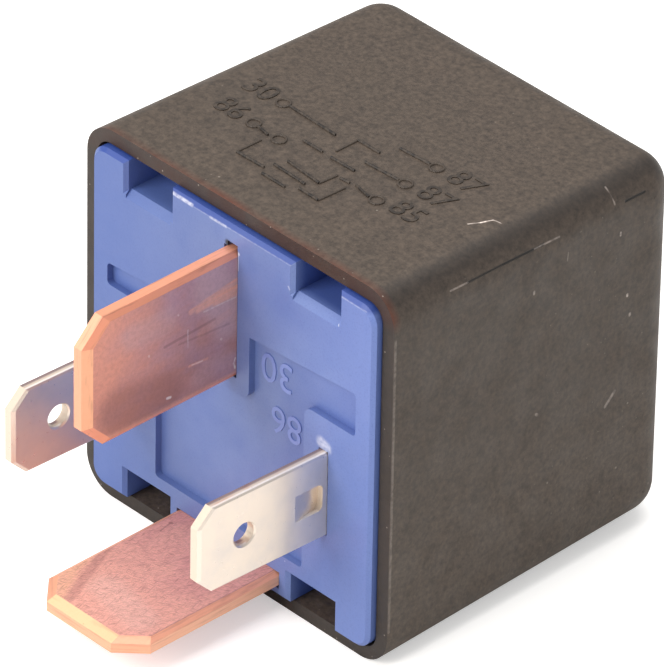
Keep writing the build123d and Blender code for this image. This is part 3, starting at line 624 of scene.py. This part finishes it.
# the raised diagram on the cover
# plain circuit lines as x and depth from the cover's rim, all in mm
diagram = {
    "strongWide": 0.3, "faintWide": 0.2, "lineHigh": 0.06, "digitHigh": 1.7, "ringDia": 0.95, "ringSteps": 14,
    "shadeAcrossTone": "1c1511", "shadeAlongTone": "3e342c", "digitTone": "2a221c", "grain": 0.35,
    "lines": [
        [(-6.45, 10.35), (-2.1, 10.2)], [(1.6, 12.2), (4.2, 12.35)], [(1.37, 9.45), (4.26, 9.6)],
        [(-0.73, 8.94), (-0.77, 10.86), (1.23, 10.86)], [(-3.0, 8.25), (-1.2, 8.24)],
        [(-0.43, 8.2), (1.7, 8.25)], [(-6.0, 7.2), (-4.87, 7.0)],
        [(-4.75, 6.3), (-4.75, 4.2), (-2.3, 4.27)], [(-2.16, 4.98), (0.78, 4.87)],
        [(-1.85, 5.87), (1.26, 5.61), (1.36, 7.13)], [(-1.89, 3.7), (0.22, 3.69)],
        [(0.87, 4.27), (2.64, 4.23), (2.7, 6.5)], [(1.7, 7.0), (2.5, 7.07)], [(2.93, 7.19), (4.45, 6.86)]],
    "rings": [(-7.0, 10.3), (-6.5, 7.3), (-4.08, 7.2), (4.75, 12.4), (4.8, 9.65), (5.0, 7.0)],
    "digits": [("30", -9.1, 10.3), ("86", -8.7, 7.4), ("87", 7.1, 12.6), ("87", 7.1, 10.0), ("85", 7.2, 7.5)]}


def topPoint(x, deep):
    return Vector(onTop(x, deep + form["rimY"])) * mm


def textMesh(name, text, high, thick):
    curve = bpy.data.curves.new(name, "FONT")
    curve.body = text
    curve.size = high * mm * 1.45  # a digit is about 0.69 of the size
    curve.extrude = thick * mm / 2
    curve.align_x = "CENTER"
    curve.align_y = "CENTER"
    curve.resolution_u = 3
    holder = bpy.data.objects.new(name, curve)
    bpy.context.scene.collection.objects.link(holder)
    graph = bpy.context.evaluated_depsgraph_get()
    mesh = bpy.data.meshes.new_from_object(holder.evaluated_get(graph))
    bpy.data.objects.remove(holder)
    return mesh


def lineTree():
    tree = bpy.data.node_groups.new("raisedLine", "GeometryNodeTree")
    tree.interface.new_socket("Geometry", in_out="INPUT", socket_type="NodeSocketGeometry")
    for name, value in (("Width", diagram["faintWide"] * mm), ("Height", diagram["lineHigh"] * mm)):
        socket = tree.interface.new_socket(name, in_out="INPUT", socket_type="NodeSocketFloat")
        socket.default_value = value
    tree.interface.new_socket("Material", in_out="INPUT", socket_type="NodeSocketMaterial")
    tree.interface.new_socket("Geometry", in_out="OUTPUT", socket_type="NodeSocketGeometry")
    given = tree.nodes.new("NodeGroupInput").outputs
    result = tree.nodes.new("NodeGroupOutput").inputs
    path = addNode(tree, "GeometryNodeMeshToCurve", {"Mesh": given["Geometry"]}).outputs[0]
    path = addNode(tree, "GeometryNodeSetCurveNormal", {"Curve": path}, mode="Z_UP").outputs[0]
    high = step("times", given["Height"], 2.0)  # half of it lies in the cover
    sizes = {"Width": high, "Height": given["Width"]}
    profile = addNode(tree, "GeometryNodeCurvePrimitiveQuadrilateral", sizes).outputs[0]
    swept = addNode(tree, "GeometryNodeCurveToMesh", {"Curve": path, "Profile Curve": profile,
                    "Fill Caps": True}).outputs[0]
    real = addNode(tree, "GeometryNodeRealizeInstances", {0: swept}).outputs[0]
    colored = addNode(tree, "GeometryNodeSetMaterial", {0: real, "Material": given["Material"]}).outputs[0]
    tree.links.new(colored, result[0])
    return tree


def grow(mesh, tree, values):
    holder = bpy.data.objects.new("holder", mesh)
    bpy.context.scene.collection.objects.link(holder)
    modifier = holder.modifiers.new("grow", "NODES")
    modifier.node_group = tree
    for item in tree.interface.items_tree:
        if item.item_type == "SOCKET" and item.in_out == "INPUT" and item.name in values:
            modifier[item.identifier] = values[item.name]
    graph = bpy.context.evaluated_depsgraph_get()
    grown = bpy.data.meshes.new_from_object(holder.evaluated_get(graph))
    bpy.data.objects.remove(holder)
    return grown


def joined(name, meshes, material):
    shape = bmesh.new()
    for mesh in meshes:
        shape.from_mesh(mesh)
    bmesh.ops.recalc_face_normals(shape, faces=shape.faces)
    whole = bpy.data.meshes.new(name)
    shape.to_mesh(whole)
    shape.free()
    whole.materials.clear()
    whole.materials.append(material)
    for face in whole.polygons:
        face.material_index = 0
    piece = bpy.data.objects.new(name, whole)
    bpy.context.scene.collection.objects.link(piece)
    return piece


def reliefMaterial(name, tone):
    # the cover's plastic, its raised lines painted darker: painted shade
    material, shader, coords = newMaterial(name)
    fine = mottling(coords, diagram["grain"], 3.0, 0.6)
    color = tinted(step("ramp", fine, 0.42, 0.62), hexColor(tone), coverLook["tone"])
    feed(shader, color=color, rough=varied(fine, 0.5, 0.65), normal=step("bump", fine, 0.01 * mm))
    return material


def linePiece(name, segments, wide, tree, material):
    points = [topPoint(x, deep) for segment in segments for x, deep in segment]
    edges = [(i, i + 1) for i in range(0, len(points), 2)]
    wires = bpy.data.meshes.new(name)
    wires.from_pydata(points, edges, [])
    sizes = {"Width": wide * mm, "Height": diagram["lineHigh"] * mm, "Material": material}
    return joined(name, [grow(wires, tree, sizes)], material)


def ringSegments(x, deep):
    radius = diagram["ringDia"] / 2
    turns = [2 * math.pi * i / diagram["ringSteps"] for i in range(diagram["ringSteps"] + 1)]
    places = [(x + radius * math.cos(turn), deep + radius * math.sin(turn)) for turn in turns]
    return list(zip(places, places[1:]))


def coverDiagram():
    segments = [pair for line in diagram["lines"] for pair in zip(line, line[1:])]
    strong = [(a, b) for a, b in segments if abs(b[0] - a[0]) > abs(b[1] - a[1])]  # lines across get the darker painted shade
    faint = [pair for pair in segments if pair not in strong]
    for x, deep in diagram["rings"]:
        faint += ringSegments(x, deep)
    tree = lineTree()
    shadeAcrossRelief = reliefMaterial("coverReliefShadeAcross", diagram["shadeAcrossTone"])
    shadeAlongRelief = reliefMaterial("coverReliefShadeAlong", diagram["shadeAlongTone"])
    digitRelief = reliefMaterial("coverReliefDigit", diagram["digitTone"])
    tilt = Matrix.Rotation(-draftAngle, 4, "X")
    digits = []
    for text, x, deep in diagram["digits"]:
        mesh = textMesh("digit", text, diagram["digitHigh"], 2 * diagram["lineHigh"])
        mesh.transform(Matrix.Translation(topPoint(x, deep)) @ tilt)
        digits.append(mesh)
    pieces = [linePiece("diagramAcross", strong, diagram["strongWide"], tree, shadeAcrossRelief),
              linePiece("diagramAlong", faint, diagram["faintWide"], tree, shadeAlongRelief),
              joined("diagramDigits", digits, digitRelief)]
    for piece in pieces:
        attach(piece, "housing")


# the raised numbers on the base, each text with its x, z and height in mm
numerals = {
    "name": "basePlasticRaised", "tone": "6c7dbc", "other": "7688c6", "grain": 0.2, "rough": 0.45,
    "high": 0.06, "digits": [("30", 3.85, 17.75, 2.1), ("86", 4.75, 14.2, 2.0),
                             ("85", -4.95, 13.9, 1.6), ("87", 0.6, 6.0, 1.6)]}


def baseNumerals():
    # the base's plastic, its raised strokes painted paler: a painted highlight
    upright = Matrix.Rotation(math.radians(90), 4, "X")
    upsideDown = Matrix.Rotation(math.radians(180), 4, "Y")
    meshes = []
    for text, x, z, high in numerals["digits"]:
        mesh = textMesh("numeral", text, high, 2 * numerals["high"])
        mesh.transform(Matrix.Translation(Vector((x, form["sunkY"], z)) * mm) @ upsideDown @ upright)
        meshes.append(mesh)
    piece = joined("baseNumerals", meshes, plainPlastic(numerals))
    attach(piece, "housing")


coverDiagram()
baseNumerals()
print("relief made")

# camera and light
view = {"place": (345.425, -330.087, 342.63), "target": (-1.911, 4.137, 13.008), "roll": 1.114,
        "lens": 496.5, "sensor": 36, "near": 0.01, "far": 20}  # places in mm, near and far in m


def makeCamera():
    data = bpy.data.cameras.new("photoCamera")
    data.lens = view["lens"]
    data.sensor_width = view["sensor"]
    data.clip_start = view["near"]
    data.clip_end = view["far"]
    camera = bpy.data.objects.new("photoCamera", data)
    bpy.context.scene.collection.objects.link(camera)
    place = Vector(view["place"]) * mm
    back = (place - Vector(view["target"]) * mm).normalized()
    right = Vector((0, 0, 1)).cross(back).normalized()
    up = back.cross(right)
    turn = math.radians(view["roll"])
    tiltedRight = right * math.cos(turn) + up * math.sin(turn)
    tiltedUp = up * math.cos(turn) - right * math.sin(turn)
    turned = Matrix((tiltedRight, tiltedUp, back)).transposed().to_4x4()
    camera.matrix_world = Matrix.Translation(place) @ turned
    bpy.context.scene.camera = camera


# places and sizes in m, power in W
lamps = [
    {"name": "keyLight", "place": (-0.14, -0.58, 0.42), "size": 0.5, "power": 4.6, "tint": (1.0, 0.97, 0.93)},
    {"name": "topLight", "place": (-0.05, 0.1, 0.7), "size": 0.5, "power": 3.0, "tint": (1.0, 0.98, 0.96)},
    {"name": "fillLight", "place": (0.6, -0.1, 0.2), "size": 0.5, "power": 0.08, "tint": (0.97, 0.98, 1.0)}]


def makeLamps():
    for lamp in lamps:
        data = bpy.data.lights.new(lamp["name"], "AREA")
        data.energy = lamp["power"]
        data.size = lamp["size"]
        data.color = lamp["tint"]
        light = bpy.data.objects.new(lamp["name"], data)
        light.location = lamp["place"]
        aim = Vector((0, 0, form["top"] * mm / 2)) - Vector(lamp["place"])
        light.rotation_euler = aim.to_track_quat("-Z", "Y").to_euler()
        bpy.context.scene.collection.objects.link(light)


studio = {"soft": 0.55, "backdrop": 1.0, "paper": "f4f3f1", "paperRough": 0.9, "paperGlow": 0.42,
          "halfFloor": 1.5}  # the floor's half side in m


def makeWorld():
    world = bpy.data.worlds.new("studio")
    world.use_nodes = True
    tree = world.node_tree
    tree.nodes.clear()
    path = tree.nodes.new("ShaderNodeLightPath").outputs["Is Camera Ray"]
    soft = addNode(tree, "ShaderNodeBackground", {"Color": (1, 1, 1, 1), "Strength": studio["soft"]})
    plain = addNode(tree, "ShaderNodeBackground", {"Color": (1, 1, 1, 1), "Strength": studio["backdrop"]})
    mixed = addNode(tree, "ShaderNodeMixShader", {0: path, 1: soft.outputs[0], 2: plain.outputs[0]})
    output = tree.nodes.new("ShaderNodeOutputWorld")
    tree.links.new(mixed.outputs[0], output.inputs["Surface"])
    bpy.context.scene.world = world


def makeFloor():
    # matt white paper, lit a little for the camera alone, so that it meets the backdrop unseen
    mesh = bpy.data.meshes.new("floor")
    half = studio["halfFloor"]
    corners = [(-half, -half, 0), (half, -half, 0), (half, half, 0), (-half, half, 0)]
    mesh.from_pydata(corners, [], [(0, 1, 2, 3)])
    floor = bpy.data.objects.new("floor", mesh)
    bpy.context.scene.collection.objects.link(floor)
    material, shader = newMaterial("palePaper")[:2]
    tree = material.node_tree
    feed(shader, color=hexColor(studio["paper"]), rough=studio["paperRough"])
    path = tree.nodes.new("ShaderNodeLightPath").outputs["Is Camera Ray"]
    glow = addNode(tree, "ShaderNodeEmission", {"Color": (1, 1, 1, 1), "Strength": studio["paperGlow"]})
    mixed = addNode(tree, "ShaderNodeAddShader", {0: shader.outputs[0], 1: glow.outputs[0]})
    final = addNode(tree, "ShaderNodeMixShader", {0: path, 1: shader.outputs[0], 2: mixed.outputs[0]})
    output = tree.nodes["Material Output"]
    tree.links.new(final.outputs[0], output.inputs["Surface"])
    mesh.materials.append(material)


makeCamera()
makeLamps()
makeWorld()
makeFloor()
bpy.context.scene.view_settings.view_transform = "Standard"
print("stage made")
